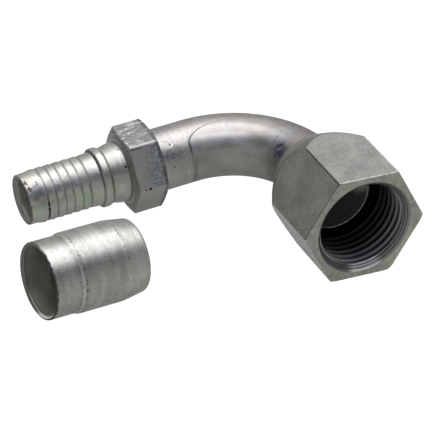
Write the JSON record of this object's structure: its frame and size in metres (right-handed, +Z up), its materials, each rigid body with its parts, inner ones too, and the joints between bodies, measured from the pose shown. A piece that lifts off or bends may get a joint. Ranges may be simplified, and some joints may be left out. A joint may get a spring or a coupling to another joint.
{
  "type": "crimp hose fitting",
  "caption": "Right-angle crimp fitting for hydraulic hose: serrated hose tail with a hexagon, bent tube, swivel nut over a cone seat, and a loose crimp ferrule beside it.",
  "frame": {"origin": "the middle of the nut's lower flat, on which the fitting lies", "axes": "-Y out of the nut's mouth along its axis, -X along the hose tail, +Z up"},
  "size_m": [0.076, 0.0489, 0.022],
  "materials": {
    "insert_zinc": "bright zinc plate, satin from turning, with scratches and a few rust spots",
    "nut_zinc": "matte fine-grained zinc plate with brighter worn edges",
    "ferrule_zinc": "bright zinc plate, satin from turning, rust-speckled at the mouth's rim"
  },
  "bodies": {
    "fitting": {"insert": "insert_zinc", "crimp_ferrule": "ferrule_zinc"},
    "nut": {"swivel_nut": "nut_zinc"}
  },
  "joints": [
    {"name": "nut_swivel", "type": "hinge", "parent": "fitting", "child": "nut", "pos_m": [0, 0.03297, 0.011], "axis": [0, -1, 0], "continuous": true}
  ]
}
